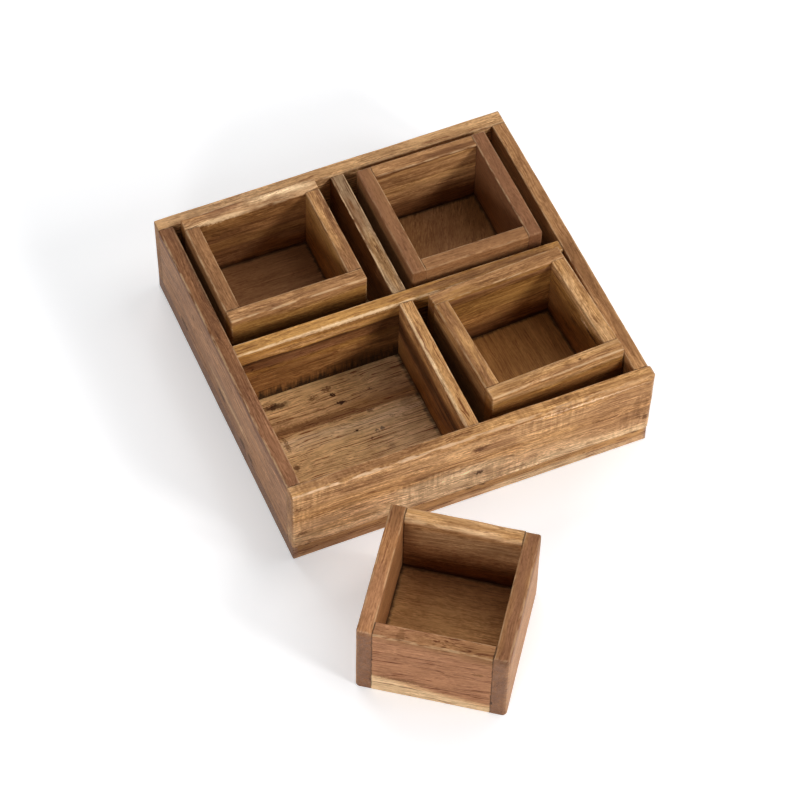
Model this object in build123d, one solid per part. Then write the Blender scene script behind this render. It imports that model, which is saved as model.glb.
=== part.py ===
# A square wooden spice tray with a cross of dividers and four loose wooden boxes.
# Three boxes sit in the tray and the fourth stands on the table in front of it.
# Millimetres. Origin: centre of the tray's underside. +X along the front wall, +Y to the back, +Z up.
from build123d import *
import os
from collections import namedtuple
from math import cos, radians, sin

os.makedirs("parts", exist_ok=True)

# ---- Driving dimensions ----

# The four boxes are alike: two long walls, two short walls between them and a let-in bottom board.
BOX_LENGTH = 76.5          # along the two long walls
BOX_WIDTH = 75.0           # across them, outside
BOX_HEIGHT = 49.3
BOX_WALL = 8.0
BOX_BOTTOM = 8.0           # bottom board, flush with the lower edges of the walls

# Tray
TRAY_WALL = 7.5
TRAY_WALL_HEIGHT = 44.0    # of the walls, which stand on the base
BASE_THICKNESS = 10.4
DIVIDER_THICKNESS = 7.5
DIVIDER_DROP = 0.7         # dividers end this far below the rim
LEFT_BAY_PLAY = 13.6       # room beside the longer side of a box, left to right
RIGHT_BAY_PLAY = 11.0
BACK_BAY_PLAY = 9.25       # and front to back
FRONT_BAY_PLAY = 9.75
FRONT_DIVIDER_SHIFT = 0.5  # the front divider stands this far to the right of the back one
BASE_FRONT_BOARD = 66.5    # widths of the two outer boards of the base; a third fills the middle
BASE_BACK_BOARD = 62.0

# Places of the boxes
BACK_LEFT_SIDE_GAP = 3.5      # to the left wall
BACK_LEFT_BACK_GAP = 1.1      # to the back wall
BACK_RIGHT_SIDE_GAP = 7.3     # to the right wall
BACK_RIGHT_BACK_GAP = 5.6     # to the back wall
FRONT_RIGHT_SIDE_GAP = 0.4    # to the right wall
FRONT_RIGHT_BACK_GAP = 0.5    # to the long divider
FRONT_RIGHT_SKEW = 2.7        # degrees, counter-clockwise from above
LOOSE_BOX_LEFT = 45.7         # its middle stands this far to the left of the tray's
LOOSE_BOX_GAP = 19.3          # from the tray's front to the box's nearest corner
LOOSE_BOX_SKEW = -36.0        # degrees

# Hidden wooden pins
PIN_DIAMETER = 3.0
PIN_LENGTH = 13.0
PIN_COVER = 3.0            # wood left between a blind pin and the outside
PIN_PLAY = 0.05            # radial, in its hole
PIN_END_PLAY = 0.2
PIN_TO_EDGE = 12.0         # from a wall's upper or lower edge to the nearest pin
BASE_PIN_INSET = 24.0      # from a base board's edge or a wall's end to the nearest base pin
BOTTOM_PIN_INSET = 20.0    # from a box wall's end to the nearest pin of the bottom board
CROSS_PIN_GRIP = 8.0       # of a pin through the long divider, in the short divider on each side

EDGE_EASE = 1.0            # radius of the rounded edges

# ---- Sizes that follow ----

RIM = BASE_THICKNESS + TRAY_WALL_HEIGHT
DIVIDER_TOP = RIM - DIVIDER_DROP
BOX_ROOM = max(BOX_LENGTH, BOX_WIDTH)     # a box fits its bay either way round
LEFT_BAY = BOX_ROOM + LEFT_BAY_PLAY
RIGHT_BAY = BOX_ROOM + RIGHT_BAY_PLAY
BACK_BAY = BOX_ROOM + BACK_BAY_PLAY
FRONT_BAY = BOX_ROOM + FRONT_BAY_PLAY
INNER_X = LEFT_BAY + DIVIDER_THICKNESS + RIGHT_BAY
INNER_Y = FRONT_BAY + DIVIDER_THICKNESS + BACK_BAY
TRAY_X = INNER_X + 2 * TRAY_WALL
TRAY_Y = INNER_Y + 2 * TRAY_WALL
LONG_DIVIDER_Y = -INNER_Y / 2 + FRONT_BAY + DIVIDER_THICKNESS / 2
BACK_DIVIDER_X = -INNER_X / 2 + LEFT_BAY + DIVIDER_THICKNESS / 2
FRONT_DIVIDER_X = BACK_DIVIDER_X + FRONT_DIVIDER_SHIFT

# A pin is held by two boards that meet at its seat: `behind` of it is in the first board,
# and `ahead` of it, along its direction, is in the second.
Pin = namedtuple("Pin", "seat direction behind ahead")


def block(x_span, y_span, z_span):
    """A plain board between two values on each axis."""
    size = [span[1] - span[0] for span in (x_span, y_span, z_span)]
    corner = (x_span[0], y_span[0], z_span[0])
    return Pos(*corner) * Box(*size, align=(Align.MIN, Align.MIN, Align.MIN))


def ease(board, edges):
    """Round the edges, by no more than the board's thinnest side allows."""
    thinnest = min(board.bounding_box().size)
    return fillet(edges, min(EDGE_EASE, 0.4 * thinnest))


def pin_rod(pin, extra_radius=0.0, extra_length=0.0):
    """The pin itself or, with the extras, the hole that it sits in."""
    direction = Vector(*pin.direction)
    start = Vector(*pin.seat) - direction * (pin.behind + extra_length)
    length = pin.behind + pin.ahead + 2 * extra_length
    rod = Cylinder(PIN_DIAMETER / 2 + extra_radius, length, align=(Align.CENTER, Align.CENTER, Align.MIN))
    return Plane(origin=start, z_dir=direction) * rod


def drilled(board, pins):
    for pin in pins:
        board -= pin_rod(pin, PIN_PLAY, PIN_END_PLAY)
    return board


def blind_pin(seat, direction, face_board):
    """A pin that stops PIN_COVER short of the far side of the first board."""
    behind = face_board - PIN_COVER
    return Pin(seat, direction, behind, PIN_LENGTH - behind)


def wall_board(side, x_span, y_span, z_span, runs_full):
    """One wall. Its rim is eased, and so are the outer corners of a wall that runs the full way."""
    board = block(x_span, y_span, z_span)
    run, across = (Axis.X, Axis.Y) if side in ("front", "back") else (Axis.Y, Axis.X)
    top = board.edges().group_by(Axis.Z)[-1]
    if not runs_full:
        return ease(board, top.filter_by(run))
    outer = -1 if side in ("back", "right") else 0
    corners = board.edges().filter_by(Axis.Z).group_by(across)[outer]
    return ease(board, top + corners)


def frame_walls(size_x, size_y, z_span, wall, full_axis):
    """Four walls butted round the origin. Those along full_axis run the full way."""
    half_x, half_y = size_x / 2, size_y / 2
    stop_x = half_x - (wall if full_axis == "y" else 0)
    stop_y = half_y - (wall if full_axis == "x" else 0)
    spans = {
        "front": ((-stop_x, stop_x), (-half_y, -half_y + wall)),
        "back": ((-stop_x, stop_x), (half_y - wall, half_y)),
        "left": ((-half_x, -half_x + wall), (-stop_y, stop_y)),
        "right": ((half_x - wall, half_x), (-stop_y, stop_y)),
    }
    full_sides = ("front", "back") if full_axis == "x" else ("left", "right")
    return {side: wall_board(side, *span, z_span, side in full_sides) for side, span in spans.items()}


def corner_pins(size_x, size_y, z_span, wall, full_axis):
    """Two pins at each corner, out of the full walls and into the ends of the other two."""
    pins = []
    for sign_x in (-1, 1):
        for sign_y in (-1, 1):
            for z in (z_span[0] + PIN_TO_EDGE, z_span[1] - PIN_TO_EDGE):
                if full_axis == "x":
                    seat = (sign_x * (size_x - wall) / 2, sign_y * (size_y / 2 - wall), z)
                    direction = (0, -sign_y, 0)
                else:
                    seat = (sign_x * (size_x / 2 - wall), sign_y * (size_y - wall) / 2, z)
                    direction = (-sign_x, 0, 0)
                pins.append(blind_pin(seat, direction, wall))
    return pins


# ---- Tray ----

def tray_base():
    """Three boards, glued edge to edge, under the whole tray."""
    half_x, half_y = TRAY_X / 2, TRAY_Y / 2
    seams = (-half_y, -half_y + BASE_FRONT_BOARD, half_y - BASE_BACK_BOARD, half_y)
    names = ("base_front_board", "base_middle_board", "base_back_board")
    boards = {}
    for name, y_span in zip(names, zip(seams, seams[1:])):
        board = block((-half_x, half_x), y_span, (0, BASE_THICKNESS))
        bottom = board.edges().group_by(Axis.Z)[0]
        soft = bottom.filter_by(Axis.Y)
        if name != "base_middle_board":
            outer = 0 if name == "base_front_board" else -1
            soft += bottom.filter_by(Axis.X).group_by(Axis.Y)[outer]
            soft += board.edges().filter_by(Axis.Z).group_by(Axis.Y)[outer]
        boards[name] = ease(board, soft)
    return boards


def tray_dividers():
    """A long divider from wall to wall, and a short one behind it and in front of it."""
    z_span = (BASE_THICKNESS, DIVIDER_TOP)
    half = DIVIDER_THICKNESS / 2
    long_span = (LONG_DIVIDER_Y - half, LONG_DIVIDER_Y + half)
    spans = {
        "long_divider": ((-INNER_X / 2, INNER_X / 2), long_span),
        "back_divider": ((BACK_DIVIDER_X - half, BACK_DIVIDER_X + half), (long_span[1], INNER_Y / 2)),
        "front_divider": ((FRONT_DIVIDER_X - half, FRONT_DIVIDER_X + half), (-INNER_Y / 2, long_span[0])),
    }
    dividers = {}
    for name, span in spans.items():
        board = block(*span, z_span)
        run = Axis.X if name == "long_divider" else Axis.Y
        dividers[name] = ease(board, board.edges().group_by(Axis.Z)[-1].filter_by(run))
    return dividers


def divider_pins():
    """Pins from the walls into the dividers' outer ends, and two through the crossing."""
    pins = []
    crossing_x = (BACK_DIVIDER_X + FRONT_DIVIDER_X) / 2
    for z in (BASE_THICKNESS + PIN_TO_EDGE, RIM - PIN_TO_EDGE):
        for sign in (-1, 1):
            seat = (sign * INNER_X / 2, LONG_DIVIDER_Y, z)
            pins.append(blind_pin(seat, (-sign, 0, 0), TRAY_WALL))
        pins.append(blind_pin((BACK_DIVIDER_X, INNER_Y / 2, z), (0, -1, 0), TRAY_WALL))
        pins.append(blind_pin((FRONT_DIVIDER_X, -INNER_Y / 2, z), (0, 1, 0), TRAY_WALL))
        reach = DIVIDER_THICKNESS / 2 + CROSS_PIN_GRIP
        pins.append(Pin((crossing_x, LONG_DIVIDER_Y, z), (0, 1, 0), reach, reach))
    return pins


def base_pins():
    """Pins up out of the base and into the lower edges of the walls and dividers."""
    wall_x, wall_y = (TRAY_X - TRAY_WALL) / 2, (TRAY_Y - TRAY_WALL) / 2
    end_x = TRAY_X / 2 - BASE_PIN_INSET
    end_y = TRAY_Y / 2 - BASE_PIN_INSET
    places = [(x, sign * wall_y) for x in (-end_x, 0, end_x) for sign in (-1, 1)]
    places += [(sign * wall_x, y) for y in (-end_y, 0, end_y) for sign in (-1, 1)]
    places += [(sign * end_x, LONG_DIVIDER_Y) for sign in (-1, 1)]
    places += [(BACK_DIVIDER_X, end_y), (FRONT_DIVIDER_X, -end_y)]
    return [blind_pin((x, y, BASE_THICKNESS), (0, 0, 1), BASE_THICKNESS) for x, y in places]


def tray():
    wall_span = (BASE_THICKNESS, RIM)
    walls = frame_walls(TRAY_X, TRAY_Y, wall_span, TRAY_WALL, "x")
    boards = {f"tray_{side}_wall": wall for side, wall in walls.items()}
    boards.update(tray_dividers())
    boards.update(tray_base())
    pins = {
        "tray_corner_pins": corner_pins(TRAY_X, TRAY_Y, wall_span, TRAY_WALL, "x"),
        "tray_divider_pins": divider_pins(),
        "tray_base_pins": base_pins(),
    }
    return boards, pins


# ---- Boxes ----

def bottom_pins(size_x, size_y):
    """Two pins out of each wall of a box and into the edges of its bottom board."""
    inner_x, inner_y = size_x / 2 - BOX_WALL, size_y / 2 - BOX_WALL
    along_x, along_y = size_x / 2 - BOTTOM_PIN_INSET, size_y / 2 - BOTTOM_PIN_INSET
    z = BOX_BOTTOM / 2
    pins = []
    for sign in (-1, 1):
        for x in (-along_x, along_x):
            pins.append(blind_pin((x, sign * inner_y, z), (0, -sign, 0), BOX_WALL))
        for y in (-along_y, along_y):
            pins.append(blind_pin((sign * inner_x, y, z), (-sign, 0, 0), BOX_WALL))
    return pins


def spice_box(full_axis):
    """One box about its own centre, standing on z = 0, with its long walls along full_axis."""
    size_x, size_y = box_size(full_axis)
    z_span = (0, BOX_HEIGHT)
    walls = frame_walls(size_x, size_y, z_span, BOX_WALL, full_axis)
    boards = {f"{side}_wall": wall for side, wall in walls.items()}
    inner_x, inner_y = size_x / 2 - BOX_WALL, size_y / 2 - BOX_WALL
    boards["bottom"] = block((-inner_x, inner_x), (-inner_y, inner_y), (0, BOX_BOTTOM))
    pins = corner_pins(size_x, size_y, z_span, BOX_WALL, full_axis) + bottom_pins(size_x, size_y)
    return boards, {"pins": pins}


def box_size(full_axis):
    return (BOX_LENGTH, BOX_WIDTH) if full_axis == "x" else (BOX_WIDTH, BOX_LENGTH)


def half_extents(full_axis, skew):
    """Half the room that a turned box takes along X and along Y."""
    size_x, size_y = box_size(full_axis)
    c, s = abs(cos(radians(skew))), abs(sin(radians(skew)))
    return (size_x * c + size_y * s) / 2, (size_x * s + size_y * c) / 2


def box_places():
    """Each box's name, the axis of its long walls, its skew and the centre of its underside."""
    inner_x, inner_y = INNER_X / 2, INNER_Y / 2
    half_x, half_y = half_extents("x", 0)
    back_left = (-inner_x + BACK_LEFT_SIDE_GAP + half_x, inner_y - BACK_LEFT_BACK_GAP - half_y)
    half_x, half_y = half_extents("y", 0)
    back_right = (inner_x - BACK_RIGHT_SIDE_GAP - half_x, inner_y - BACK_RIGHT_BACK_GAP - half_y)
    half_x, half_y = half_extents("x", FRONT_RIGHT_SKEW)
    bay_back = LONG_DIVIDER_Y - DIVIDER_THICKNESS / 2
    front_right = (inner_x - FRONT_RIGHT_SIDE_GAP - half_x, bay_back - FRONT_RIGHT_BACK_GAP - half_y)
    half_x, half_y = half_extents("y", LOOSE_BOX_SKEW)
    loose = (-LOOSE_BOX_LEFT, -TRAY_Y / 2 - LOOSE_BOX_GAP - half_y)
    return [
        ("back_left_box", "x", 0, (*back_left, BASE_THICKNESS)),
        ("back_right_box", "y", 0, (*back_right, BASE_THICKNESS)),
        ("front_right_box", "x", FRONT_RIGHT_SKEW, (*front_right, BASE_THICKNESS)),
        ("loose_box", "y", LOOSE_BOX_SKEW, (*loose, 0)),
    ]


# ---- Write each piece where it stands at rest ----

def write(prefix, place, boards, pins):
    """One file for each board, and one for each group of pins."""
    every_pin = [pin for group in pins.values() for pin in group]
    for name, board in boards.items():
        export_step(place * drilled(board, every_pin), f"parts/{prefix}{name}.step")
    for name, group in pins.items():
        rods = [place * pin_rod(pin) for pin in group]
        export_step(Compound(children=rods), f"parts/{prefix}{name}.step")


write("", Location((0, 0, 0)), *tray())
for box_name, long_axis, skew, centre in box_places():
    write(f"{box_name}_", Location(centre, (0, 0, skew)), *spice_box(long_axis))
    print(f"{box_name}: centre x {centre[0]:.2f}, y {centre[1]:.2f}, z {centre[2]:.2f}, turned {skew}")
print(f"tray {TRAY_X:.1f} x {TRAY_Y:.1f} x {RIM:.1f}")
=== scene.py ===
# %% [markdown]
# # A wooden spice tray and its four boxes
#
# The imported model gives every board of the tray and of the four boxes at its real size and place.
# This notebook dresses those boards. Each one becomes a mesh with softened, unevenly worn edges, and
# each gets oiled wood of its own tone, because no two boards of such a piece come from the same plank.
# Blender works in metres here, and the boards are described in millimetres, as a maker would.

import math

import bpy
import numpy as np
from mathutils import Matrix, Vector


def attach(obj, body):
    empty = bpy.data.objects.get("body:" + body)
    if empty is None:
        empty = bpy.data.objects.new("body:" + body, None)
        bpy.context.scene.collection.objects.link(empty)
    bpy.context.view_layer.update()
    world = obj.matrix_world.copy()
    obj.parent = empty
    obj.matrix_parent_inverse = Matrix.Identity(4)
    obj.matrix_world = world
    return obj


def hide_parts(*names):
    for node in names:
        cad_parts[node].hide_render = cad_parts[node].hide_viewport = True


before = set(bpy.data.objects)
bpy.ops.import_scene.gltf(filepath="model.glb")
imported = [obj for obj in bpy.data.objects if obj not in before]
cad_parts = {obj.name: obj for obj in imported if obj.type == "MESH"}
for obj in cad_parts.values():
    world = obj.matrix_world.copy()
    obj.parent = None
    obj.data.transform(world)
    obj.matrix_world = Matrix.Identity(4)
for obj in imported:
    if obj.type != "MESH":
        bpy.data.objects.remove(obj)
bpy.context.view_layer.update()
MM = 0.001

# %% [markdown]
# Every object has to be linked to the scene before it shows. The camera and the lights are placed by
# two angles each.

# %% Objects and directions


def add_object(name, data):
    """Puts an object with this data into the scene."""
    thing = bpy.data.objects.new(name, data)
    bpy.context.scene.collection.objects.link(thing)
    return thing


def toward(azimuth, elevation):
    """The direction so many degrees to the right of the front, and above the table."""
    a, e = math.radians(azimuth), math.radians(elevation)
    return Vector((math.sin(a) * math.cos(e), -math.cos(a) * math.cos(e), math.sin(e)))


print("straight in front:", [round(value, 2) for value in toward(0, 0)])

# %% [markdown]
# ## The camera
#
# The tray is seen from its front left, from high up and from far away with a long lens, so its edges
# stay nearly parallel. A camera is placed by where it stands, what it looks at and a small roll.

# %% Camera
CAMERA_ANGLES = (-24.34, 53.61, 1.53)  # degrees: azimuth from the front, elevation and roll
CAMERA_DISTANCE = 1.7403  # m
CAMERA_TARGET = Vector((-0.0173, -0.0416, 0.025))
CLIP_END = 50  # m
SENSOR_WIDTH = 36.0  # mm
LENS = 150.35  # mm


def camera_axes(azimuth, elevation, roll):
    """The camera's right, up and backward directions."""
    backward = toward(azimuth, elevation)
    right = Vector((0, 0, 1)).cross(backward).normalized()
    up = backward.cross(right)
    r = math.radians(roll)
    turned_right = right * math.cos(r) + up * math.sin(r)
    return turned_right, backward.cross(turned_right), backward


def add_camera():
    """Adds the camera and returns where it stands."""
    data = bpy.data.cameras.new("camera")
    data.sensor_width = SENSOR_WIDTH
    data.lens = LENS
    data.clip_end = CLIP_END
    camera = add_object("camera", data)
    axes = camera_axes(*CAMERA_ANGLES)
    place = CAMERA_TARGET + axes[2] * CAMERA_DISTANCE
    camera.matrix_world = Matrix.Translation(place) @ Matrix(axes).transposed().to_4x4()
    bpy.context.scene.camera = camera
    return place


print("camera stands at", [round(value, 3) for value in add_camera()])

# %% [markdown]
# ## Node helpers
#
# Materials are node trees. One function adds a node: it takes the kind, what goes into its sockets,
# and its settings. A socket is found by its name or identifier or, where names repeat, by its number.

# %% One function that adds a node


def empty_tree(owner):
    """The node tree of a material or a world, without the nodes that it starts with."""
    owner.use_nodes = True
    owner.node_tree.nodes.clear()
    return owner.node_tree


def find(sockets, key):
    """The socket with this number, name or identifier."""
    if isinstance(key, int):
        return sockets[key]
    return next(socket for socket in sockets if key in (socket.name, socket.identifier))


def add(tree, kind, inputs=None, **settings):
    """Adds a node. An input is a value, or another node's socket, which is then linked."""
    node = tree.nodes.new("ShaderNode" + kind)
    for name, value in settings.items():
        setattr(node, name, value)
    for name, value in (inputs or {}).items():
        socket = find(node.inputs, name)
        if isinstance(value, bpy.types.NodeSocket):
            tree.links.new(value, socket)
        else:
            socket.default_value = value
    return node


# %% Sums, and colours in linear light


def scalar(tree, operation, *values):
    """The result of a Math node on these numbers and sockets."""
    return add(tree, "Math", dict(enumerate(values)), operation=operation).outputs[0]


def vector(tree, operation, *values):
    """The result of a Vector Math node. Some operations turn vectors into one number."""
    node = add(tree, "VectorMath", dict(enumerate(values)), operation=operation)
    return node.outputs["Value" if operation in ("DOT_PRODUCT", "LENGTH") else "Vector"]


def linear(hex_colour):
    """An sRGB hex colour as the linear red, green, blue and alpha that Blender works in."""
    channels = [int(hex_colour[i:i + 2], 16) / 255 for i in (1, 3, 5)]
    bent = [c / 12.92 if c <= 0.04045 else ((c + 0.055) / 1.055) ** 2.4 for c in channels]
    return (*bent, 1.0)


print("mid grey #808080 is", round(linear("#808080")[0], 3), "in linear light")

# %% [markdown]
# ## The shape of one board
#
# A sawn board is a box, but its edges are what sells it: hands and sandpaper round them unevenly.
# A bevel modifier gives one even radius, so here the board is a grid of points over the six sides of a
# box, with lines crowding towards the edges, and each edge is bent into an arc whose radius wanders.
# Every board is made lying down in its own axes: x along the grain, y across it, z out of its face.

# %% Lines and points over a box
EDGE_LINES = (0.0, 0.15, 0.35, 0.6, 0.9, 1.25, 1.7, 2.3, 3.0, 3.9)  # mm in from an edge
EDGE_ROOM = 0.9  # share of half a side that they fill
GRID_STEP = 1.5  # mm between lines elsewhere
TRIAL_SIZE = (76.0, 49.0, 8.0)  # mm, a board to try the functions on


def line_places(length, step):
    """Places of the lines along one side of a board, in mm from its middle."""
    half = length / 2
    near = [value for value in EDGE_LINES if value < EDGE_ROOM * half]
    inner = half - near[-1]
    middle = np.linspace(-inner, inner, max(2, round(2 * inner / step)) + 1)[1:-1]
    low = np.array(near) - half
    return np.concatenate([low, middle, -low[::-1]])


def box_skin(size, step):
    """Points and quads over the six sides of a box. Sides that meet share their points."""
    places = [line_places(length, step) for length in size]
    counts = [len(values) for values in places]
    grid = np.indices(counts)
    on_skin = np.zeros(counts, bool)
    for axis, count in enumerate(counts):
        on_skin |= (grid[axis] == 0) | (grid[axis] == count - 1)
    number = np.full(counts, -1)
    number[on_skin] = np.arange(on_skin.sum())
    points = np.stack([places[axis][grid[axis][on_skin]] for axis in range(3)], axis=1)
    quads = []
    for axis in range(3):
        for end in (0, -1):
            sheet = np.take(number, end, axis=axis)
            quad = np.stack([sheet[:-1, :-1], sheet[1:, :-1], sheet[1:, 1:], sheet[:-1, 1:]], axis=-1)
            quad = quad.reshape(-1, 4)
            flipped = (end == 0) != (axis == 1)
            quads.append(quad[:, ::-1] if flipped else quad)
    return points, np.concatenate(quads)


trial_points, trial_quads = box_skin(TRIAL_SIZE, GRID_STEP)
print("a board of", TRIAL_SIZE, "mm has", len(trial_points), "points and", len(trial_quads), "quads")

# %% Smooth wandering values, used wherever a hand tool or a hand was uneven
WAVES = 7  # waves added up


def wander(points, wavelength, seed):
    """Smooth random values, about -1 to 1, over points in mm. The same seed gives the same values."""
    random = np.random.default_rng(seed)
    total = np.zeros(len(points))
    for _ in range(WAVES):
        direction = random.normal(size=3)
        direction *= random.uniform(0.6, 1.5) / np.linalg.norm(direction)
        phase = random.uniform(0, 2 * math.pi)
        total += np.sin(points / wavelength @ direction * 2 * math.pi + phase)
    return total / math.sqrt(WAVES)


print("spread of the wandering values:", wander(trial_points, 38.0, 1).std().round(2))

# %% Rounding the twelve edges
WEAR_FADE = 0.5  # mm over which wear dies away beside an arc
RADIUS_WAVE = 22.0  # mm from one tight place of an edge to the next
LEAST_RADIUS = 0.05  # mm
MOST_RADIUS = 0.45  # share of the board's thickness


def round_edges(points, size, edge_of, seed):
    """Bends each edge into an arc, and returns how much each point is worn, from 0 to 1."""
    half = np.array(size) / 2
    wear = np.zeros(len(points))
    for along in range(3):
        b, c = [axis for axis in range(3) if axis != along]
        track = points * [axis == along for axis in range(3)]
        share = points[:, along] / size[along] + 0.5
        for side_b in (-1, 1):
            for side_c in (-1, 1):
                edge_seed = seed + 100 * along + 10 * side_b + side_c + 11
                *ends, unevenness = edge_of(along, side_b, side_c)
                radius, rubbing = (np.interp(share, (0, 1), np.broadcast_to(value, 2)) for value in ends)
                radius = radius * (1 + unevenness * wander(track, RADIUS_WAVE, edge_seed))
                radius = np.clip(radius, LEAST_RADIUS, MOST_RADIUS * min(size))
                u = half[b] - side_b * points[:, b]
                v = half[c] - side_c * points[:, c]
                near = (u < radius) & (v < radius) & (np.hypot(radius - u, radius - v) > radius)
                r, un, vn = radius[near], u[near], v[near]
                reach = np.hypot(r - un, r - vn)
                points[near, b] = side_b * (half[b] - r + r * (r - un) / reach)
                points[near, c] = side_c * (half[c] - r + r * (r - vn) / reach)
                distance = np.maximum(u, v) - 0.5 * radius
                wear = np.maximum(wear, rubbing * np.clip(1 - distance / WEAR_FADE, 0, 1))
    return wear


trial_wear = round_edges(trial_points.copy(), TRIAL_SIZE, lambda *edge: (1.0, 0.5, 0.1), 1)
print("share of its points that are worn:", (trial_wear > 0).mean().round(2))

# %% [markdown]
# ## Where each board lies
#
# A board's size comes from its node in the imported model, read in the axes of the box that it belongs
# to, because two of the boxes stand turned. Each side of a box has its own set of board axes.

# %% Board axes
X, Y, Z = Vector((1, 0, 0)), Vector((0, 1, 0)), Vector((0, 0, 1))
BOARD_AXES = {
    "front": (X, Z, -Y),
    "back": (-X, Z, Y),
    "left": (-Y, Z, -X),
    "right": (Y, Z, X),
    "lying": (X, Y, Z),
    "lying_across": (Y, -X, Z),
}


def box_middle(box):
    """The middle of a box, over the ground."""
    corners = np.array([v.co for name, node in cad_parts.items() if name.startswith(box + "_")
                        for v in node.data.vertices])
    middle = (corners.min(axis=0) + corners.max(axis=0)) / 2
    return middle * (1, 1, 0)


def board_place(node, side, turn=0.0, stretch=(1.0, 1.0), middle=(0.0, 0.0, 0.0)):
    """A node's size in its board axes, in mm, and the matrix that stands the board in its place.

    The boxes are hand-made, so each differs a little from its plan. stretch says by how much, along
    and across it, about its middle."""
    turned = Matrix.Rotation(math.radians(turn), 3, "Z")
    corners = np.array([v.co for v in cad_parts[node].data.vertices]) @ np.array(turned)
    still = np.array(middle) @ np.array(turned)
    corners = still + (corners - still) * (*stretch, 1.0)
    low, high = corners.min(axis=0), corners.max(axis=0)
    axes = Matrix(BOARD_AXES[side]).transposed()
    size = np.abs(np.array(axes).T @ (high - low)) / MM
    centre = turned @ Vector((low + high) / 2)
    return size, Matrix.Translation(centre) @ (turned @ axes).to_4x4()


print("front wall, grain x height x thickness in mm:", board_place("tray_front_wall", "front")[0].round(1))

# %% [markdown]
# ## The wood
#
# This is acacia offcut: plain-sawn, planed, sanded, then rubbed with oil and left satin. Oil deepens
# the heartwood to red and umber, and leaves the sapwood straw yellow, so one board can hold both. An
# image of a plank would repeat and would stop at the edges. A solid pattern, worked out from each
# board's own axes, runs on over its edges and end grain as real wood does.

# %% Tones of oiled acacia
TONES = {
    # cream also paints a highlight on the front wall's face.
    "cream": "#F0C9A1",  # edges rubbed pale
    "straw": "#F0CB9D",  # sapwood, and its darker kinds
    "wheat": "#E0B283",
    "sand": "#DFB27B",
    "honey": "#D1A270",
    "golden": "#C5935D",
    "ochre": "#C18D4E",
    "dune": "#BD8B61",
    "ginger": "#B88153",
    "amber": "#AE7A44",  # orange heartwood
    "olive": "#A2733C",
    "tan": "#B08053",  # brown heartwood
    "hazel": "#A87F58",
    "moss": "#A18261",
    "rose": "#B7825D",  # pinkish brown heartwood
    "driftwood": "#B3845E",  # greyed by handling
    "chestnut": "#9B6D46",  # dark heartwood
    "bark": "#9A6C3E",
    "russet": "#8C5F40",
    "umber": "#7E5331",
    "coffee": "#472A15",  # knots, dark heart streaks and deep shade
    "ash": "#A7846E",  # end grain, greyer
}
LINE_TINT, PORE_TINT, END_TINT = "#8A4E22", "#865A32", "#C4B4A8"  # these multiply the wood's colour
# This colour darkens the foot of inner walls and floors beside walls: grime, and painted shade there too.
GRIME_AND_SHADE = "#1E140D"


def bands(text):
    """'straw 0, golden 0.4' means straw at the lower edge and golden at 0.4 of the way up."""
    pairs = [part.split() for part in text.split(",")]
    return [(tone, float(share)) for tone, share in pairs]


print(len(TONES), "tones; a sample band list:", bands("straw 0, golden 0.4"))

# %% Noise with a size in millimetres
USUAL_ROUGHNESS = 0.55
NOISES = {
    # kind: (mm along the grain, mm across it, detail, roughness if it isn't the usual one)
    "sway": (45, 14, 2),  # the grain's slow bends
    "wobble": (60, 12, 3),  # wandering of the bands
    "figure": (75, 4, 3),  # finer wandering, which also frays the marks
    "broad": (48, 2.6, 3),  # growth-ring streaks
    "shows": (30, 6, 1),  # places where fibres show more
    "fleck": (2.4, 0.9, 2, 0.6),
    "blotch": (11, 8, 3),
    "ripple": (1.8, 14, 1),  # marks of a blunt planer
    "rippled": (40, 25, 0),  # places that have them
    "groups": (60, 9, 1),  # places where long dark lines stand
    # The ragged and tufted upper edges belong to the grime and painted shade at the foot of walls.
    "pore": (3.6, 0.6, 1),
    "rubbed": (8, 1.5, 3),  # patches of an edge that are rubbed
    "ragged": (12, 3, 3, 0.6),  # upper edge of grime
    "tufts": (1.8, 16, 3, 0.65),  # the same where mould stands in tufts
}


def noise_mm(tree, place, kind):
    """Noise of a kind in NOISES, or of these measures."""
    along, across, detail, roughness = (*NOISES.get(kind, kind), USUAL_ROUGHNESS)[:4]
    scaled = vector(tree, "DIVIDE", place, (along, across, across))
    return add(tree, "TexNoise", {
        "Vector": scaled, "Scale": 1.0, "Detail": detail, "Roughness": roughness}).outputs["Fac"]


def remap(tree, value, low, high, to_low=0, to_high=1):
    """Maps low to to_low and high to to_high, and stops there."""
    return add(tree, "MapRange", {
        "Value": value, "From Min": low, "From Max": high, "To Min": to_low, "To Max": to_high}).outputs[0]


def spread(tree, noise, to_low, to_high):
    """Noise stretched over a range. It seldom leaves 0.3 to 0.7."""
    return remap(tree, noise, 0.3, 0.7, to_low, to_high)


def tinted(tree, colour, factor, tint, blend="MIX"):
    """The colour with a share of a tint mixed in, or multiplied by it."""
    inputs = {"Factor_Float": factor, "A_Color": colour, "B_Color": tint}
    mix = add(tree, "Mix", inputs, data_type="RGBA", blend_type=blend)
    return find(mix.outputs, "Result_Color")


def painted_on(tree, attribute):
    """A value that the board's points carry."""
    return add(tree, "Attribute", attribute_name=attribute).outputs["Fac"]


print(len(NOISES), "kinds of noise, the finest", min(noise[1] for noise in NOISES.values()), "mm wide")

# %% [markdown]
# Acacia is banded: pale sapwood lies beside heartwood, and the border wanders along the grain. A colour
# ramp across the board's width gives the bands, and two noises push it up and down.

# %% Bands
RAMP_ENDS = 0.55  # the ramp reaches a little past both edges, in shares of the width
STOPS_AT_FIRST = 2  # a new ramp has two stops
FINE_WANDER = 0.8  # share of the wandering that the finer noise adds


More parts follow.
